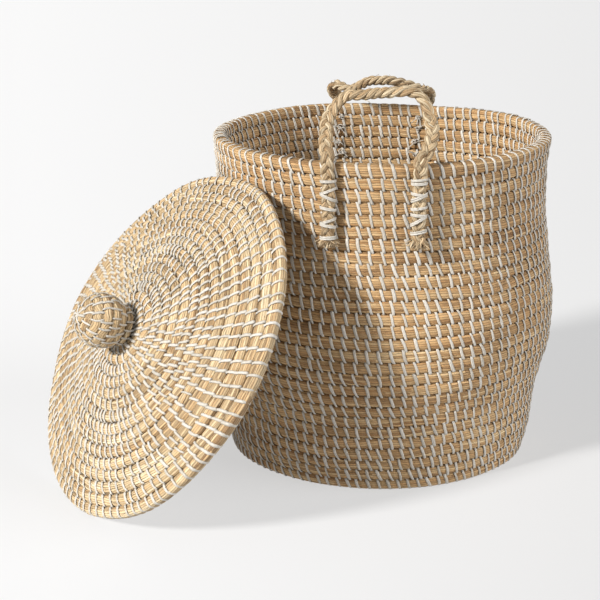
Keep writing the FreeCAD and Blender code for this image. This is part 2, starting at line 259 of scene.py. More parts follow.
class Row:
    """One row: a ring of coil about the local Z axis, with its sewing.

    The section's own axes are out, square to the coiled surface, and up, towards the next row.
    """

    def __init__(self, radius, height, out, half, thick, seed, power=COIL_POWER):
        self.radius, self.height = radius, height
        self.out = np.array(out)
        self.up = np.array((-out[1], out[0]))
        self.half, self.thick, self.power = half, thick, power
        self.seed = seed
        self.sink = 0.8 * MM
        self.rng = np.random.default_rng(seed)
        self.drift = lambda a: (np.zeros_like(a), np.zeros_like(a))
        self.swell = waves(self.rng, 9, 2, 0.4)
        self.stitches = np.zeros(0)
        self.lean = 0.0
        self.side = -1

    def edge(self, angle):
        """Distance from the section's middle to its edge."""
        c = np.abs(np.cos(angle)) / self.thick
        s = np.abs(np.sin(angle)) / self.half
        return (c**self.power + s**self.power) ** (-1 / self.power)

    def place(self, turn, a, v):
        """Points at a turn about Z, a outwards and v upwards in the section."""
        dr, dz = self.drift(turn)
        r = self.radius + dr + a * self.out[0] + v * self.up[0]
        z = self.height + dz + a * self.out[1] + v * self.up[1]
        return np.stack([r * np.cos(turn), r * np.sin(turn), z], -1)

    def lag(self, angle):
        """Turn of a stitch from its place, by where it is round the section."""
        level = np.where(np.cos(angle) >= 0, np.sin(angle), 2 - np.sin(angle))
        return self.side * self.lean / 2 * level / self.radius

    def pinch(self, turn, angle):
        """From 0 to 1 under a stitch."""
        if not len(self.stitches):
            return 0.0
        at = np.mod(turn - self.lag(angle), TURN)
        knots = np.sort(np.mod(self.stitches, TURN))
        knots = np.concatenate([[knots[-1] - TURN], knots, [knots[0] + TURN]])
        nearest = np.searchsorted(knots, at)
        gap = np.minimum(np.abs(at - knots[nearest - 1]), np.abs(knots[nearest] - at))
        return np.exp(-((gap * self.radius / DENT_REACH) ** 2))

    def coil(self, steps):
        """Points, the coil coordinate of their corners, and how deep each lies in the fold between rows, for
        painted shade there.
        """
        turn = np.linspace(0, TURN, steps, endpoint=False)
        edge = self.edge(SECTION)
        outline = np.array([edge * np.cos(SECTION), edge * np.sin(SECTION)])
        arc = np.hypot(*np.diff(outline))
        closing = math.hypot(*(outline[:, -1] - outline[:, 0]))
        run = np.concatenate([[0], np.cumsum(arc), [arc.sum() + closing]])
        blades = max(6, round(run[-1] / BLADE_WIDTH))
        spot = run / run[-1] * blades
        twist = int(self.rng.integers(-2, 3))
        wander = waves(self.rng, 12, 2, 0.6)
        shift = 0.55 * wander(turn) + twist * turn / TURN
        shift = np.append(shift, shift[0] + twist)
        b = shift[:, None] + spot[None, :]
        cell = np.floor(b[:-1, :-1])
        part = b[:-1, :-1] - cell
        crown = np.sqrt(np.clip(1 - (2 * part - 1) ** 2, 0, 1)) - 0.6
        proud = np.zeros((blades, steps))
        for k in range(blades):
            proud[k] = waves(self.rng, 22, 4, 0.3)(turn)
        lift = proud[np.mod(cell, blades).astype(int), np.arange(steps)[:, None]]
        t, angle = np.meshgrid(turn, SECTION, indexing="ij")
        size = edge[None, :] + BLADE_RELIEF * (crown * 1.1 + lift * 0.55)
        size = size * (1 + 0.018 * self.swell(turn))[:, None]
        size = size - self.sink * self.pinch(t, angle)
        points = self.place(t, size * np.cos(angle), size * np.sin(angle))
        along = np.append(turn, TURN) * self.radius
        return points, along, b, np.abs(np.sin(SECTION)) ** 6

    def sewing(self, rng, over, width=CORD_WIDTH, thick=CORD_THICKNESS, bite=0.95, sides=6):
        """Points of every stitch, out of the coil below, over this one and down its inner face.

        Over is True where no further row lies on top, so that the cord goes round the coil.
        Bite is how far the cord reaches past the coil's edges into its neighbours.
        """
        count = len(self.stitches)
        face = np.radians((-38, -14, 14, 38))
        edge = self.edge(face) + thick * 0.16
        outer = np.stack([edge * np.cos(face) / self.thick, edge * np.sin(face) / self.half], 1)
        if over:
            arch = np.radians((58, 74, 90, 106, 122))
            edge = self.edge(arch) + thick * 0.2
            top = np.stack([edge * np.cos(arch) / self.thick, edge * np.sin(arch) / self.half], 1)
        else:
            top = STITCH_TOP
        inner = outer[::-1] * (-1, 1)
        path = np.concatenate([STITCH_FOOT, outer, top, inner, STITCH_FOOT[::-1] * (-1, 1)])
        a = path[:, 0] * self.thick
        v = np.where(np.abs(path[:, 1]) > 0.8, path[:, 1] * bite, path[:, 1]) * self.half
        lean = rng.normal(1, 0.17, (count, 1))
        bow = rng.normal(0, 0.45 * MM, (count, 1)) / self.radius
        level = np.minimum(path[:, 1], 1)
        level = np.where(path[:, 0] >= 0, level, 2 - level)
        lag = self.side * self.lean / 2 / self.radius * level * lean + bow * np.cos(level * 1.5)
        turn = self.stitches[:, None] + lag
        reach = rng.normal(1, 0.05, (count, 1))
        v = np.where(np.abs(path[:, 1]) > 0.9, v * reach, v)
        a, v = np.broadcast_arrays(a, v)
        line = self.place(turn, a, v)
        tangent = unit(np.gradient(line, axis=1))
        normal = line - self.place(turn, a * 0.4, v * 0.4)
        normal = unit(normal - (normal * tangent).sum(-1, keepdims=True) * tangent)
        side = np.cross(tangent, normal)
        n = line.shape[1]
        taper = 1 - 0.3 * np.abs(np.linspace(-1, 1, n)) ** 6
        wide = width * rng.normal(1, 0.11, (count, 1)) * taper * rng.normal(1, 0.035, (count, n))
        ring = np.arange(sides) * TURN / sides
        cos, sin = np.cos(ring), np.sin(ring)
        points = (
            line[:, :, None]
            + side[:, :, None] * (wide[..., None] / 2 * cos)[..., None]
            + normal[:, :, None] * (thick / 2 * np.sign(sin) * np.abs(sin) ** 0.8)[:, None]
        )
        step = np.linalg.norm(np.diff(line, axis=1), axis=-1)
        along = np.concatenate([np.zeros((count, 1)), np.cumsum(step, 1)], 1)
        return points, along, rng.uniform(0, 100, count)


# A stitch's way through the coil below and over the top, in coil half sizes (out, up)
STITCH_FOOT = np.array(((0.3, -1.3), (0.62, -1.22), (0.83, -1.07), (0.94, -0.84)))
STITCH_RISE = np.array(((0.94, 0.82), (0.84, 1.02), (0.62, 1.14), (0.25, 1.14)))
STITCH_TOP = np.concatenate([STITCH_RISE, STITCH_RISE[::-1] * (-1, 1)])


def add_row(coils, cords, row, steps, place=None, over=False, **kinds):
    """Puts one row's coil and sewing, moved to their place, into their gathers."""
    points, along, around, crease_shade_mask = row.coil(steps)
    coils.tube(moved(points, place), along, around, row.seed, crease_shade_mask)
    points, along, seeds = row.sewing(row.rng, over, **kinds)
    cords.tubes(moved(points, place), along, seeds)


def moved(points, place):
    """Points from a local frame (matrix, origin) into the model's frame, none under the floor."""
    if place is not None:
        matrix, origin = place
        points = points @ matrix.T + origin
    points[..., 2] = np.maximum(points[..., 2], 0.2 * MM)
    return points


def joint_named(name):
    return next(j for j in frame["record"]["behaviour"]["joints"] if j["name"] == name)


def node_points(*names):
    """Corners of CAD nodes as an array."""
    return np.concatenate([[v.co[:] for v in frame["nodes"][n].data.vertices] for n in names])


# ---------------------------------------------------------------- materials


class Nodes:
    """A small helper for building a material's nodes."""

    def __init__(self, name):
        self.material = bpy.data.materials.new(name)
        self.material.use_nodes = True
        self.tree = self.material.node_tree
        self.bsdf = self.tree.nodes["Principled BSDF"]

    def node(self, kind, inputs=(), **values):
        made = self.tree.nodes.new(kind)
        for key, value in values.items():
            setattr(made, key, value)
        for key, value in dict(inputs).items():
            self.into(made.inputs[key], value)
        return made

    def into(self, socket, value):
        if isinstance(value, bpy.types.NodeSocket):
            self.tree.links.new(value, socket)
        else:
            socket.default_value = value

    def math(self, operation, *values, clamp=False):
        made = self.node("ShaderNodeMath", enumerate(values), operation=operation, use_clamp=clamp)
        return made.outputs[0]

    def ramp(self, factor, stops):
        made = self.node("ShaderNodeValToRGB", {"Fac": factor})
        ramp = made.color_ramp
        while len(ramp.elements) < len(stops):
            ramp.elements.new(0.5)
        for element, (position, colour) in zip(ramp.elements, stops):
            element.position = position
            element.color = (*colour, 1)
        return made.outputs["Color"]

    def mix(self, factor, first, second, blend="MIX"):
        made = self.node("ShaderNodeMix", data_type="RGBA", blend_type=blend)
        self.into(made.inputs["Factor"], factor)
        self.into(made.inputs["A"], first)
        self.into(made.inputs["B"], second)
        return made.outputs["Result"]

    def noise(self, vector, scale, detail=2.0, rough=0.5):
        made = self.node(
            "ShaderNodeTexNoise",
            {"Vector": vector, "Scale": scale, "Detail": detail, "Roughness": rough},
        )
        return made.outputs["Fac"]

    def vector(self, x, y, z):
        return self.node("ShaderNodeCombineXYZ", enumerate((x, y, z))).outputs[0]

    def white(self, x, y, z):
        made = self.node("ShaderNodeTexWhiteNoise", {"Vector": self.vector(x, y, z)})
        return made.outputs["Value"]

    def remap(self, value, low, high, first, last, curve="LINEAR"):
        made = self.node(
            "ShaderNodeMapRange",
            {"Value": value, "From Min": low, "From Max": high, "To Min": first, "To Max": last},
            interpolation_type=curve,
        )
        return made.outputs["Result"]

    def total(self, first, *others):
        """The sum of values, each given with its weight."""
        made = self.math("MULTIPLY", *first)
        for other in others:
            made = self.math("ADD", made, self.math("MULTIPLY", *other))
        return made

    def coil_coordinate(self):
        """Metres along, the place around (in blades on grass, in turns on cord), and the seed."""
        attribute = self.node("ShaderNodeAttribute", attribute_name="coil")
        return self.node("ShaderNodeSeparateXYZ", {"Vector": attribute.outputs["Vector"]}).outputs

    def surface(self, colour, rough, shine, height, depth, strength):
        """Sets the surface's colour, roughness and shine, and a bump from a height."""
        self.into(self.bsdf.inputs["Base Color"], colour)
        self.into(self.bsdf.inputs["Roughness"], rough)
        self.bsdf.inputs["Specular IOR Level"].default_value = shine
        bump = self.node("ShaderNodeBump", {"Height": height, "Distance": depth, "Strength": strength})
        self.into(self.bsdf.inputs["Normal"], bump.outputs["Normal"])
        return self.material


# Painted shade for the hollow between blades
BLADE_GROOVE_SHADE = (0.11, 0.06, 0.026, 1)
# Painted shade for the gaps between fibres
FIBRE_GAP_SHADE = (0.10, 0.052, 0.022, 1)
# Painted shade for the fold where one row lies on the next
PAINTED_CREASE_SHADE = (0.07, 0.038, 0.017, 1)
WARM_TINT = (1.0, 0.80, 0.60, 1)
# Painted shade for the hollows of the cord's twist
CORD_GROOVE_SHADE = (0.31, 0.275, 0.22, 1)
CORD_TONES = [
    (0.15, (0.37, 0.34, 0.29)),
    (0.5, (0.475, 0.445, 0.395)),
    (0.85, (0.555, 0.528, 0.482)),
]


def grass(name, stops, stretch=0.075, crease_shade_strength=0.34, gaps=0.55):
    """Dried seagrass blades that run along a coil, each stretch in its own tone, with painted shade between
    blades, in fibre gaps (as dark as gaps sets) and where rows meet.
    """
    n = Nodes(name)
    along, around, seed = n.coil_coordinate()
    # A little fibre waviness, so that blade edges aren't ruled lines
    wobble = n.noise(n.vector(n.math("MULTIPLY", along, 60.0), around, seed), 1.0, 2.0)
    b = n.math("ADD", around, n.math("MULTIPLY", n.math("SUBTRACT", wobble, 0.5), 0.5))
    blade = n.math("FLOOR", b)
    inside = n.math("FRACT", b)
    first = n.white(blade, seed, 1.7)
    length = n.math("DIVIDE", along, stretch)
    piece = n.math("FLOOR", n.math("ADD", length, n.math("MULTIPLY", first, 9.0)))
    tone = n.white(blade, piece, seed)
    tint = n.white(piece, seed, blade)
    fibre_at = n.vector(n.math("MULTIPLY", along, 28.0), n.math("MULTIPLY", b, 5.0), seed)
    fibre = n.noise(fibre_at, 1.0, 4.0, 0.62)
    coarse_at = n.vector(n.math("MULTIPLY", along, 7.0), n.math("MULTIPLY", b, 0.9), seed)
    coarse = n.noise(coarse_at, 1.0, 2.0)
    where = n.node("ShaderNodeTexCoord").outputs["Object"]
    patch = n.noise(where, 9.0, 2.0)
    level = n.total((tone, 0.52), (fibre, 0.5), (coarse, 0.6), (patch, 0.4))
    level = n.math("SUBTRACT", level, 0.51)
    colour = n.ramp(level, stops)
    warm = n.mix(n.math("MULTIPLY", tint, 0.5), colour, WARM_TINT, "MULTIPLY")
    colour = n.mix(n.math("GREATER_THAN", tint, 0.74), colour, warm)
    # Painted shade: a dark line in the hollow where one blade lies against the next
    middle = n.math("ABSOLUTE", n.math("SUBTRACT", inside, 0.5))
    line = n.remap(middle, 0.36, 0.5, 0.0, 1.0, "SMOOTHSTEP")
    line = n.math("MULTIPLY", line, n.math("ADD", 0.22, n.math("MULTIPLY", coarse, 0.9)))
    colour = n.mix(line, colour, BLADE_GROOVE_SHADE)
    # Painted shade in short gaps between fibres, which the bump also sinks
    gap_at = n.vector(n.math("MULTIPLY", along, 34.0), n.math("MULTIPLY", b, 3.4), n.math("ADD", seed, 7.0))
    gap = n.remap(n.noise(gap_at, 1.0, 2.0, 0.55), 0.58, 0.67, 0.0, gaps, "SMOOTHSTEP")
    colour = n.mix(gap, colour, FIBRE_GAP_SHADE)
    # Painted shade: darker where the coil turns down between rows, where shade falls
    crease_shade_mask = n.node("ShaderNodeAttribute", attribute_name="crease_shade_mask").outputs["Fac"]
    colour = n.mix(n.math("MULTIPLY", crease_shade_mask, crease_shade_strength), colour, PAINTED_CREASE_SHADE)
    rough = n.math("ADD", 0.52, n.math("MULTIPLY", fibre, 0.3), clamp=True)
    height = n.total((fibre, 0.55), (tone, 0.35), (line, -0.9), (gap, -0.8))
    return n.surface(colour, rough, 0.32, height, 0.9 * MM, 0.85)


def cord_material():
    """Flat white cord of twisted plastic fibre, with painted shade in the hollows of its twist."""
    n = Nodes("sewing_cord")
    along, around, seed = n.coil_coordinate()
    angle = n.total((around, 3 * TURN), (along, TURN / CORD_RIDGE))
    ridge = n.math("ADD", 0.5, n.math("MULTIPLY", n.math("SINE", angle), 0.5))
    fibre_at = n.vector(n.math("MULTIPLY", along, 160.0), n.math("MULTIPLY", around, 14.0), seed)
    fibre = n.noise(fibre_at, 1.0, 3.0, 0.6)
    tone = n.white(seed, 3.1, 0.4)
    colour = n.ramp(n.total((fibre, 0.5), (tone, 0.5)), CORD_TONES)
    # Painted shade in the hollows between the cord's ridges
    groove_shade = n.math("MULTIPLY", n.math("SUBTRACT", 1.0, ridge), 0.16)
    colour = n.mix(groove_shade, colour, CORD_GROOVE_SHADE)
    rough = n.math("ADD", 0.36, n.math("MULTIPLY", fibre, 0.24))
    height = n.total((ridge, 0.6), (fibre, 0.6))
    return n.surface(colour, rough, 0.42, height, 0.4 * MM, 0.7)


WALL_GRASS = grass(
    "wall_grass",
    [
        (0.10, (0.171, 0.088, 0.033)),
        (0.34, (0.342, 0.203, 0.090)),
        (0.58, (0.479, 0.310, 0.150)),
        (0.80, (0.604, 0.424, 0.226)),
        (1.0, (0.741, 0.593, 0.353)),
    ],
    gaps=0.45,
)
# The lid's grass: paler than the wall's, and lighter too, with painted light for the lid's brightly lit top
LID_PALE_GRASS_AND_PAINTED_LIGHT = grass(
    "lid_pale_grass_and_painted_light",
    [
        (0.12, (0.180, 0.106, 0.050)),
        (0.34, (0.403, 0.284, 0.154)),
        (0.56, (0.572, 0.426, 0.249)),
        (0.78, (0.673, 0.546, 0.350)),
        (1.0, (0.753, 0.663, 0.477)),
    ],
    gaps=0.75,
)
BRAID_GRASS = grass(
    "braid_grass",
    [
        (0.10, (0.19, 0.12, 0.06)),
        (0.36, (0.355, 0.258, 0.15)),
        (0.6, (0.48, 0.378, 0.243)),
        (0.82, (0.585, 0.495, 0.345)),
        (1.0, (0.68, 0.615, 0.48)),
    ],
    stretch=0.03,
    crease_shade_strength=0.3,
)
CORD = cord_material()


# ---------------------------------------------------------------- wall, rim and base


def shared_drift(seed, reach):
    """Slow hand-made unevenness that neighbouring rows share, over turn and height."""
    rng = np.random.default_rng(seed)
    terms = [(int(rng.integers(1, 6)), rng.uniform(6, 22), *rng.uniform(0, TURN, 2)) for _ in range(9)]

    def at(turn, height):
        total = 0.0
        for k, m, p, q in terms:
            total = total + np.sin(k * turn + p) * np.sin(m * height + q)
        return reach * total / 3

    return at


def wall_rows():
    """The wall's rows, foot first, at the CAD coil's own centres."""
    points = node_points("wall_coil", "rim_coil")
    radius = np.hypot(points[:, 0], points[:, 1])
    total = points[:, 2].max()
    growth = 2 * (total / WALL_ROWS - FOOT_ROW) / (WALL_ROWS - 1)
    centres = []
    low = 0.0
    for row in range(WALL_ROWS):
        half = (FOOT_ROW + row * growth) / 2
        near = np.abs(points[:, 2] - low - half) < half * 0.5
        centres.append((radius[near].max() - half, low + half, half))
        low += 2 * half
    bulge = shared_drift(11, 1.5 * MM)
    slide = shared_drift(12, 1.3 * MM)
    sway = shared_drift(13, 1.6 * MM)
    rows = []
    for row, (r, z, half) in enumerate(centres):
        below = centres[max(row - 1, 0)]
        above = centres[min(row + 1, WALL_ROWS - 1)]
        along = unit(np.array((above[0] - below[0], above[1] - below[1])))
        made = Row(r, z, (along[1], -along[0]), half * ROW_PRESS, half * ROW_THIN, 100 + row)
        ripple = waves(made.rng, 10, 3, 0.5)
        grip = min(1.0, z / 0.05)

        def drift(turn, z=z, ripple=ripple, grip=grip):
            return bulge(turn, z) + 0.35 * MM * ripple(turn), grip * slide(turn, z)

        made.drift = drift
        even = np.arange(WALL_STITCHES) * TURN / WALL_STITCHES
        uneven = made.rng.normal(0, 0.55 * MM, WALL_STITCHES)
        made.stitches = even + (sway(even, z * 1.5) * 1.4 + uneven) / r
        made.lean = WALL_LEAN * made.rng.normal(1, 0.05)
        rows.append(made)
    return rows


def build_wall():
    rows = wall_rows()
    steps = WALL_STITCHES * STEPS_PER_STITCH
    for start in range(0, WALL_ROWS, ROWS_PER_PIECE):
        coils, cords = Gather(), Gather()
        group = rows[start : start + ROWS_PER_PIECE]
        for row in group:
            add_row(coils, cords, row, steps, over=row is rows[-1])
        part = start // ROWS_PER_PIECE + 1
        replaced = ["wall_coil"] if start + ROWS_PER_PIECE < WALL_ROWS else ["wall_coil", "rim_coil"]
        coils.piece(f"wall_coil_{part}", WALL_GRASS, "basket", "seagrass_coil", replaced)
        cords.piece(f"wall_sewing_{part}", CORD, "basket", "sewing_cord")
    return rows


def build_base():
    low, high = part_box("base_coil")
    pitch = high.x / BASE_ROWS
    thick = (high.z - low.z) / 2
    coils, cords = Gather(), Gather()
    for index in range(BASE_ROWS):
        radius = (index + 0.5) * pitch
        row = Row(radius, low.z + thick, (0.0, 1.0), pitch / 2 * 1.03, thick * 0.9, 200 + index)
        row.up = np.array((1.0, 0.0))
        count = max(5, round(TURN * radius / BASE_STITCH))
        row.stitches = (np.arange(count) + row.rng.normal(0, 0.06, count)) * TURN / count
        row.lean = 3 * MM
        add_row(coils, cords, row, max(48, round(TURN * radius / (3 * MM))))
    coils.piece("base_coils", WALL_GRASS, "basket", "seagrass_coil", ["base_coil"])
    cords.piece("base_sewing", CORD, "basket", "sewing_cord")


# ---------------------------------------------------------------- lid and knob


def lid_frame():
    """The lid's own frame from its joint and its knob: matrix, origin at the knob's middle."""
    axis = unit(np.array(joint_named("lid_lift")["axis"], float))
    low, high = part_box("knob_core")
    side = unit(np.cross((0, 0, 1.0), axis))
    return np.stack([side, np.cross(axis, side), axis], 1), np.array((low + high) / 2)


def branching(rows, first, spacing, rng):
    """Stitches row by row, each near the last row's, with more added in wide gaps."""
    angles = np.arange(first) * TURN / first
    for row in rows:
        row.lean = LID_LEAN * rng.normal(1, 0.05)
        angles = np.sort(np.mod(angles, TURN))
        wanted = spacing(row.radius)
        gaps = np.diff(np.append(angles, angles[0] + TURN))
        wide = gaps * row.radius > wanted * 1.3
        extra = (angles + gaps / 2)[wide]
        angles = np.concatenate([angles, extra])
        order = np.sort(np.mod(angles, TURN))
        count = len(order)
        even = np.arange(count) * TURN / count
        even = even + np.angle(np.exp(1j * (order - even)).mean())
        pull = np.angle(np.exp(1j * (even - order)))
        order = order + 0.3 * pull + rng.normal(0, 0.35 * MM, count) / row.radius
        row.stitches = order + row.lean / 2 / row.radius
        angles = order + LID_SWIRL * row.lean / row.radius


class LidRow(Row):
    """A row whose next neighbour is further out, so its stitches lean the other way."""

    def __init__(self, *values):
        super().__init__(*values)
        self.up = -self.up
        self.side = 1


def build_lid(place):
    matrix, origin = place
    local = (node_points("lid_coil") - origin) @ matrix
    radius = np.hypot(local[:, 0], local[:, 1])
    widest = local[radius.argmax(), 2]
    edge = radius.max() - LID_COIL
    rise = local[:, 2].max() - widest - LID_COIL * 0.75
    bulge = shared_drift(21, 2.0 * MM)
    rows = []
    radii = [edge * (1 - index / LID_ROWS) for index in range(LID_ROWS)][::-1]

    def height(r):
        return widest + rise * (1 - (r / edge) ** LID_CURVE)

    for index, r in enumerate(radii):
        step = edge / LID_ROWS
        slope = (height(r + step / 2) - height(r - step / 2)) / step
        out = unit(np.array((-slope, 1.0)))
        half = step / 2 * math.hypot(1, slope)
        press, thick = half * ROW_PRESS, LID_COIL * ROW_THIN
        row = LidRow(r, height(r), out, press, thick, 300 + index, LID_POWER)
        ripple = waves(row.rng, 9, 3, 0.5)

        def drift(turn, r=r, ripple=ripple):
            lift = np.angle(np.exp(1j * (turn - LID_WARP_TURN))) / LID_WARP_SPREAD
            warp = LID_WARP * (r / edge) ** 2.5 * np.exp(-(lift**2))
            return 0.3 * MM * ripple(turn + 2), bulge(turn, r * 1.2) + 0.35 * MM * ripple(turn) + warp

        row.drift = drift
        rows.append(row)
    rng = np.random.default_rng(31)
    branching(rows, LID_FIRST_STITCHES, lambda r: (8.6 + 4.2 * r / edge) * MM, rng)
    for part, (start, end) in enumerate(zip((0, *LID_CUTS), (*LID_CUTS, LID_ROWS)), 1):
        coils, cords = Gather(), Gather()
        for row in rows[start:end]:
            steps = max(90, round(TURN * row.radius / (2.0 * MM)))
            add_row(coils, cords, row, steps, place, row is rows[-1], **LID_CORD)
        coils.piece(f"lid_coil_{part}", LID_PALE_GRASS_AND_PAINTED_LIGHT, "lid", "seagrass_coil", ["lid_coil"])
        cords.piece(f"lid_sewing_{part}", CORD, "lid", "sewing_cord")


def build_knob(place):
    """The knob, sewn on a little askew."""
    matrix, origin = place
    ball = (node_points("knob_coil") - origin) @ matrix
    neck = (node_points("knob_neck") - origin) @ matrix
    foot_point = origin - matrix[:, 2] * KNOB_LEVER
    matrix = matrix @ np.array(Matrix.Rotation(KNOB_TILT, 3, "X"))
    place = matrix, foot_point + matrix[:, 2] * KNOB_LEVER
    outside = np.linalg.norm(ball, axis=1).max()
    foot = math.acos(ball[:, 2].min() / outside)
    step = foot / KNOB_ROWS
    middle = outside - KNOB_COIL
    half = middle * step / 2 * 1.2
    coils, cords = Gather(), Gather()
    for index in range(KNOB_ROWS):
        angle = (index + 0.5) * step
        out = (math.sin(angle), math.cos(angle))
        r = middle * out[0]
        row = LidRow(r, middle * out[1], out, half, KNOB_COIL, 400 + index, 2.6)
        count = max(6, round(TURN * r / KNOB_STITCH))
        row.stitches = (np.arange(count) + 0.5 * index + row.rng.normal(0, 0.1, count)) * TURN / count
        row.lean = 1.5 * MM
        row.sink = 0.35 * MM
        add_row(coils, cords, row, max(60, round(TURN * r / (1.5 * MM))), place, **KNOB_CORD)
    reach = np.hypot(neck[:, 0], neck[:, 1])
    r = (reach.max() + reach.min()) / 2
    low, high = neck[:, 2].min(), neck[:, 2].max()
    row = LidRow(r, (low + high) / 2, (1.0, 0.0), (high - low) / 2 * 1.1, reach.max() - r, 420, 2.2)
    uneven = row.rng.normal(0, 0.1, NECK_STITCHES)
    row.stitches = (np.arange(NECK_STITCHES) + uneven) * TURN / NECK_STITCHES
    row.lean = 1.5 * MM
    add_row(coils, cords, row, 90, place, **NECK_CORD)
    coils.piece("knob_coils", LID_PALE_GRASS_AND_PAINTED_LIGHT, "lid", "seagrass_coil", ["knob_coil", "knob_neck"])
    cords.piece("knob_sewing", CORD, "lid", "sewing_cord")


# ---------------------------------------------------------------- handles


def smooth_line(points, count):
    """A smooth evenly stepped line through points."""
    points = np.array(points, float)
    ends = np.concatenate([[2 * points[0] - points[1]], points, [2 * points[-1] - points[-2]]])
    fine = []
    for i in range(len(points) - 1):
        p0, p1, p2, p3 = ends[i : i + 4]
        t = np.linspace(0, 1, 40, endpoint=False)[:, None]
        square = 2 * p0 - 5 * p1 + 4 * p2 - p3
        cube = 3 * p1 - p0 - 3 * p2 + p3
        fine.append(0.5 * (2 * p1 + (p2 - p0) * t + square * t**2 + cube * t**3))
    fine = np.concatenate(fine + [points[-1:]])
    run = np.concatenate([[0], np.cumsum(np.linalg.norm(np.diff(fine, axis=0), axis=1))])
    at = np.linspace(0, run[-1], count)
    line = np.stack([np.interp(at, run, fine[:, k]) for k in range(3)], 1)
    for _ in range(6):
        line[1:-1] = (line[:-2] + 2 * line[1:-1] + line[2:]) / 4
    return line, at


def smooth_step(value):
    value = np.clip(value, 0, 1)
    return value * value * (3 - 2 * value)


def cord_tube(gather, line, width, thick, seed, facing=(0.31, 0.22, 0.93), sides=8):
    """A flat cord along a line of points, its flat side towards facing."""
    tangent = unit(np.gradient(line, axis=0))
    facing = np.broadcast_to(facing, line.shape)
    normal = facing - (facing * tangent).sum(-1, keepdims=True) * tangent
    normal = unit(normal)
    side = np.cross(tangent, normal)
    ring = np.arange(sides) * TURN / sides
    points = (
        line[:, None]
        + side[:, None] * (np.cos(ring) * width / 2)[:, None]
        + normal[:, None] * (np.sin(ring) * thick / 2)[:, None]
    )
    step = np.linalg.norm(np.diff(line, axis=0), axis=1)
    along = np.concatenate([[0], np.cumsum(step)])
    gather.tubes(points[None], along[None], np.array([float(seed)]))


def handle_axes(name):
    """A handle's hinge point, the hinge's axis, the way out of the basket, and the way up its loop."""
    joint = joint_named(name + "_handle_fold")
    pivot, axis = np.array(joint["pos_m"], float), unit(np.array(joint["axis"], float))
    out = unit(np.array((pivot[0], pivot[1], 0.0)))
    rel = node_points(name + "_handle_arch") - pivot
    across = rel @ axis
    rel = rel - across[:, None] * axis
    far = np.linalg.norm(rel, axis=1)
    reach = unit(rel[far > far.max() * 0.93].mean(0))
    return pivot, axis, out, reach


HANDLES = {
    # Loop points in mm: across to the right, up the loop from the hinge, and square to the loop.
    # Feet and rim are the places across where the legs end and where they pass over the rim.
    # Fold is where the plait lies over on its side, and broad is how far it turns there.
    "front": dict(
        loop=(
            (-54.2, 13, 0), (-54, 28, 0), (-53, 44, 0), (-45.5, 58.5, 0), (-37.6, 68.5, 0),
            (-29, 73.8, 0), (-18.9, 73.6, 0), (-7.8, 74.7, 0), (4.4, 76.1, 0), (17.7, 76.8, 0),
            (31.5, 78.6, 0), (43.2, 76.6, 0), (49.9, 72, 0), (54.8, 65, 0), (58, 56, 0),
            (61, 45, 0), (64, 32, 0), (61, 17, 0), (56.5, 4, 0),
        ),
        feet=(-50.4, 50.6),
        rim=(-51.5, 52.0),
        fold=0,
        broad=0,
    ),
    "back": dict(
        loop=(
            (-60, 6, 4), (-62, 18, 6), (-60, 29, 8), (-54, 35, 7), (-47, 38, 2.5), (-38.2, 42, -2),
            (-29.8, 50, -1), (-21.4, 59, 1), (-11.8, 65, 3), (0, 66, 3), (12.9, 67.5, 3),
            (23.5, 63.5, 2), (34.6, 58, 1), (46.1, 51.5, -1), (54, 45, -2), (61, 35, -1),
            (65.5, 22, 0), (67.5, 9, 1),
        ),
        feet=(-50.0, 50.0),
        rim=(-56.0, 67.5),
        fold=-56,
        broad=2.2,
    ),
}


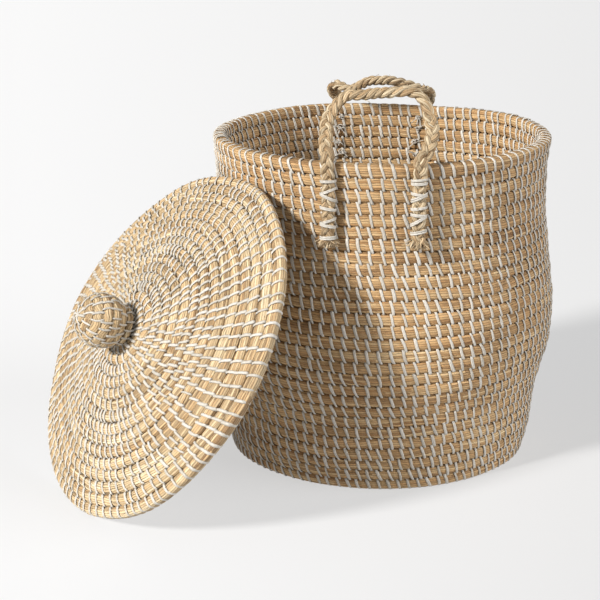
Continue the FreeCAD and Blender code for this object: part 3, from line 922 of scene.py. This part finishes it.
def build_handle(name):
    pivot, axis, out, reach = handle_axes(name)
    right = axis if axis[0] > 0 else -axis
    square = np.cross(right, reach)
    square = square * np.sign(square @ out)
    leg_low, leg_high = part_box(name + "_left_leg")
    leg = node_points(name + "_left_leg", name + "_right_leg") @ out
    leg_reach = (leg.max() + leg.min()) / 2
    foot = leg_low.z + 15 * MM
    shape = HANDLES[name]
    route = []
    for side, turned in ((0, False), (1, True)):
        x = shape["feet"][side] * MM
        over = shape["rim"][side] * MM
        run = []
        climb = (foot - 2 * MM, foot + 20 * MM, foot + 45 * MM, leg_high.z - 22 * MM, leg_high.z - 4 * MM)
        for z, toward_rim in zip(climb, (0, 0, 0, 0.3, 0.85)):
            aside = x + (over - x) * toward_rim
            run.append(right * aside + out * leg_reach + np.array((0, 0, z)))
        run.append(pivot + right * over + np.array((0, 0, 2 * MM)) + out * 2 * MM)
        route.append(run[::-1] if turned else run)
    loop = [pivot + (right * x + reach * s + square * h) * MM for x, s, h in shape["loop"]]
    line, at = smooth_line(route[0] + loop + route[1], PLAIT_STEPS)
    tangent = unit(np.gradient(line, axis=0))
    share = at / at[-1]
    high = smooth_step((line[:, 2] - pivot[2]) / (30 * MM))[:, None]
    from_fold = ((line - pivot) @ right / MM - shape["fold"]) / FOLD_SPREAD
    broad = high * np.exp(-(from_fold**2))[:, None] * shape["broad"]
    facing = unit(out * (1 - high) + square * high + reach * broad)
    facing = unit(facing - (facing * tangent).sum(-1, keepdims=True) * tangent)
    across = np.cross(tangent, facing)
    gather = Gather()
    rng = np.random.default_rng(500 + len(name))
    slack = waves(rng, 9, 2, 0.5)
    turned = -at / STRAND_PERIOD * TURN + 0.35 * slack(share * TURN)
    # A flat plait on the wall that rolls up into a rope over the top of the loop
    rope = smooth_step((share - 0.3) / 0.1) * smooth_step((0.7 - share) / 0.1)
    for strand in range(3):
        phase = turned + strand * TURN / 3
        beside = PLAIT_FLAT + rope * (PLAIT_ROPE - PLAIT_FLAT)
        before = PLAIT_DEPTH * np.sin(2 * phase) * (1 - rope) + PLAIT_ROPE * np.cos(phase) * rope
        centre = line + across * (beside * np.sin(phase))[:, None] + facing * before[:, None]
        wide = (3.35 - 0.35 * rope) * MM
        thick = (2.75 + 0.2 * rope) * MM
        add_strand(gather, centre, facing, wide, thick, 510 + strand + 10 * len(name), at)
    add_stray_blades(gather, line, tangent, facing, across, rng)
    piece = gather.piece(
        name + "_handle_plait",
        BRAID_GRASS,
        None,
        "seagrass_braid",
        [name + "_handle_arch", name + "_left_leg", name + "_right_leg"],
    )
    add_tufts(name, shape, right, out, leg_reach, foot)
    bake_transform(piece)
    add_lashings(name, shape, right, out, leg_reach)


def add_strand(gather, centre, facing, wide, thick, seed, at):
    """One strand: a soft bundle of blades with its own twist."""
    rng = np.random.default_rng(seed)
    tangent = unit(np.gradient(centre, axis=0))
    normal = unit(facing - (facing * tangent).sum(-1, keepdims=True) * tangent)
    side = np.cross(tangent, normal)
    sides = 28
    ring = np.arange(sides + 1) * TURN / sides
    share = at / at[-1]
    twist = at / STRAND_TWIST + 0.5 * waves(rng, 12, 2, 0.5)(share * TURN)
    b = ring[None, :] / TURN * STRAND_BLADES + twist[:, None]
    part = b - np.floor(b)
    crown = np.sqrt(np.clip(1 - (2 * part - 1) ** 2, 0, 1)) - 0.6
    size = 1 + 0.15 * crown[:, :-1] + 0.04 * waves(rng, 24, 5, 0.3)(share * TURN)[:, None]
    points = (
        centre[:, None]
        + side[:, None] * (size * np.cos(ring[:-1]) * wide[:, None])[..., None]
        + normal[:, None] * (size * np.sin(ring[:-1]) * thick[:, None])[..., None]
    )
    gather.tube(points, at, b, seed, 0.0, ring=False)


def add_stray_blades(gather, line, tangent, facing, across, rng):
    """Thin blade ends that have come loose from a plait."""
    for _ in range(STRAY_BLADES):
        i = int(rng.integers(8, len(line) - 8))
        turn = rng.uniform(0, TURN)
        outward = across[i] * math.cos(turn) + facing[i] * math.sin(turn)
        reach = (across[i] * math.cos(turn) * 6.2 + facing[i] * math.sin(turn) * 4.4) * MM
        ahead = tangent[i] * rng.choice((-1, 1)) * rng.uniform(5, 13) * MM
        away = outward * rng.uniform(0.3, 4.2) * MM
        t = np.linspace(0, 1, 7)[:, None]
        strand = line[i] + reach * 0.82 + ahead * t + away * t**1.6
        cord_tube(gather, strand, rng.uniform(0.5, 1.3) * MM, 0.45 * MM, rng.uniform(0, 90), outward, 6)


def add_tufts(name, shape, right, out, leg_reach, foot):
    """The cut, frayed ends of the plait under the last lashing."""
    gather = Gather()
    rng = np.random.default_rng(600 + len(name))
    down = np.array((0, 0, -1.0))
    for end in (0, 1):
        base = right * shape["feet"][end] * MM + out * leg_reach + np.array((0, 0, foot))
        for _ in range(TUFT_STRANDS):
            spot = rng.uniform(-1, 1, 2)
            spot = spot / max(1, np.linalg.norm(spot))
            root = base + right * spot[0] * 5.6 * MM + out * spot[1] * 3.2 * MM - down * 4 * MM
            fan = right * (spot[0] * 4.0 + rng.normal(0, 1.6)) * MM + out * (1.2 + spot[1] * 1.4) * MM
            length = rng.uniform(3.5, 10) * (1 - 0.25 * spot[0] ** 2) * MM
            hook = right * rng.normal(0, 2.6) * MM + out * rng.normal(0, 1.0) * MM
            t = np.linspace(0, 1, 8)[:, None]
            line = root + down * (4 * MM + length) * t + fan * t**0.8 + hook * np.maximum(t - 0.45, 0) * 1.8
            turn = rng.uniform(0, TURN)
            facing = out * math.cos(turn) + right * math.sin(turn)
            cord_tube(gather, line, rng.uniform(0.8, 2.3) * MM, 0.7 * MM, rng.uniform(0, 90), facing, 6)
    gather.piece(name + "_frayed_ends", BRAID_GRASS, "basket", "seagrass_braid")


LASHINGS = {
    # Height of each pass of cord over a leg, in mm, at its left and its right
    "left": (
        (375, 375.6), (361, 368), (360.5, 353.5), (346, 343),
        (327.5, 333.5), (326.5, 323.5), (311, 311.8),
    ),
    "right": (
        (377.6, 379.6), (374.2, 375), (363.5, 361), (355, 363.2),
        (345.3, 348), (339.2, 338), (327.4, 338.6), (317.8, 321.4),
    ),
}


def add_lashings(name, shape, right, out, leg_reach):
    """Cord wound over each leg and through the wall, with its knots and ends inside."""
    gather = Gather()
    rng = np.random.default_rng(700 + len(name))
    wall = node_points("wall_coil", "rim_coil")
    wall_radius = np.hypot(wall[:, 0], wall[:, 1])
    for end, key in enumerate(("left", "right")):
        x0 = shape["feet"][end] * MM
        for z_left, z_right in LASHINGS[key]:
            for strand in range(2):
                shift = (strand - 0.5) * 1.5 * MM
                u = np.radians(np.linspace(-205, 25, 22))
                across = LASHING_SIDE * np.cos(u + math.pi)
                lift = LASHING_FRONT * -np.sin(u)
                t = (across / LASHING_SIDE + 1) / 2
                z = (z_left + (z_right - z_left) * t) * MM + shift + rng.normal(0, 0.25 * MM)
                side_z = z + 0.3 * MM * np.sin(t * math.pi * rng.uniform(0.8, 1.4))
                line = right * (x0 + across)[:, None] + out * (leg_reach - 0.6 * MM + lift)[:, None]
                line[:, 2] += side_z
                facing = right * np.cos(u + math.pi)[:, None] + out * -np.sin(u)[:, None]
                cord_tube(gather, line, 2.1 * MM, 1.3 * MM, rng.uniform(0, 90), facing)
        # Knots on the inside
        for z in KNOT_HEIGHTS:
            z = (z + rng.uniform(-4, 4)) * MM
            near = np.abs(wall[:, 2] - z) < 9 * MM
            inside = wall_radius[near].min() - 1.5 * MM
            x = x0 + rng.uniform(-3, 3) * MM
            depth = math.sqrt(inside**2 - x**2)
            centre = right * x + out * depth + np.array((0, 0, z))
            for _ in range(2):
                t = np.linspace(0, TURN * 0.93, 26)
                size = rng.uniform(1.9, 3.4) * MM
                tilt = rng.uniform(-0.9, 0.9)
                loop = (
                    right * (np.cos(t) * size)[:, None]
                    + np.array((0, 0, 1.0)) * (np.sin(t) * size * 0.8)[:, None]
                    - out * (np.sin(2 * t + tilt) * 1.3 * MM)[:, None]
                )
                loop = loop + centre + right * rng.normal(0, 1 * MM) + np.array((0, 0, rng.normal(0, 1 * MM)))
                cord_tube(gather, loop, 2.0 * MM, 1.2 * MM, rng.uniform(0, 90))
            for _ in range(4):
                t = np.linspace(0, 1, 10)[:, None]
                away = right * rng.uniform(-12, 12) * MM - out * rng.uniform(1, 4) * MM
                away = away + np.array((0, 0, rng.uniform(-8, 10) * MM))
                sag = np.array((0, 0, -1.0)) * (t**2) * rng.uniform(0, 3) * MM
                cord_tube(gather, centre + away * t + sag, 1.9 * MM, 0.9 * MM, rng.uniform(0, 90))
    replaced = [name + "_left_lashing", name + "_right_lashing"]
    gather.piece(name + "_lashings", CORD, "basket", "sewing_cord", replaced)


# ---------------------------------------------------------------- stage


def sun_light(name, azimuth, height, spread, strength, colour):
    lamp = bpy.data.lights.new(name, "SUN")
    lamp.angle = math.radians(spread)
    lamp.energy = strength
    lamp.color = colour
    obj = bpy.data.objects.new(name, lamp)
    a, e = math.radians(azimuth), math.radians(height)
    toward = Vector((math.cos(e) * math.cos(a), math.cos(e) * math.sin(a), math.sin(e)))
    obj.location = toward * 3
    obj.rotation_euler = toward.to_track_quat("Z", "Y").to_euler()
    bpy.context.scene.collection.objects.link(obj)


def floor_paint_and_glow():
    """A pale floor that glows a little from within as painted light, slightly brighter on its left."""
    n = Nodes("floor_paint_and_glow")
    where = n.node("ShaderNodeTexCoord").outputs["Object"]
    split = n.node("ShaderNodeSeparateXYZ", {"Vector": where}).outputs
    aside = n.math("ADD", split["X"], 0.03)
    away = n.math("ADD", split["Y"], 2.0)
    level = n.math("DIVIDE", aside, n.math("MAXIMUM", away, 0.3))
    # Painted light: the floor's own glow, falling off from left to right
    glow = n.remap(level, -0.2, 0.2, *GLOW)
    n.bsdf.inputs["Base Color"].default_value = FLOOR
    n.bsdf.inputs["Roughness"].default_value = 0.9
    n.bsdf.inputs["Specular IOR Level"].default_value = 0.1
    n.bsdf.inputs["Emission Color"].default_value = (1, 1, 1, 1)
    n.into(n.bsdf.inputs["Emission Strength"], glow)
    return n.material


def build_stage():
    mesh = bpy.data.meshes.new("floor")
    corners = [(FLOOR_REACH * x, FLOOR_REACH * y, 0) for x, y in ((-1, -1), (1, -1), (1, 1), (-1, 1))]
    mesh.from_pydata(corners, [], [(0, 1, 2, 3)])
    mesh.materials.append(floor_paint_and_glow())
    floor = bpy.data.objects.new("floor", mesh)
    floor.location.z = -FLOOR_DROP
    bpy.context.scene.collection.objects.link(floor)
    world = bpy.data.worlds.new("studio")
    world.use_nodes = True
    back = world.node_tree.nodes["Background"]
    back.inputs["Color"].default_value = (0.97, 0.98, 1.0, 1)
    back.inputs["Strength"].default_value = WORLD
    bpy.context.scene.world = world
    sun_light("key", -141, 29, 9, KEY, (1.0, 0.985, 0.96))
    sun_light("overhead", -110, 76, 80, OVERHEAD, (1.0, 1.0, 1.0))
    sun_light("fill", -17, 24, 50, FILL, (1.0, 1.0, 1.0))


def build_camera():
    lens = bpy.data.cameras.new("camera")
    lens.sensor_width = SENSOR_WIDTH
    lens.lens = FOCAL_LENGTH
    camera = bpy.data.objects.new("camera", lens)
    level = math.cos(CAMERA_PITCH)
    ahead = Vector((math.sin(CAMERA_YAW) * level, math.cos(CAMERA_YAW) * level, -math.sin(CAMERA_PITCH)))
    camera.location = CAMERA_PLACE
    camera.rotation_euler = ahead.to_track_quat("-Z", "Y").to_euler()
    bpy.context.scene.collection.objects.link(camera)
    bpy.context.scene.camera = camera


bpy.context.scene.view_settings.view_transform = "Standard"
build_camera()
build_stage()
build_wall()
build_base()
LID_PLACE = lid_frame()
build_lid(LID_PLACE)
build_knob(LID_PLACE)
for handle in HANDLES:
    build_handle(handle)
frame["nodes"]["knob_core"].data.materials.clear()
frame["nodes"]["knob_core"].data.materials.append(LID_PALE_GRASS_AND_PAINTED_LIGHT)
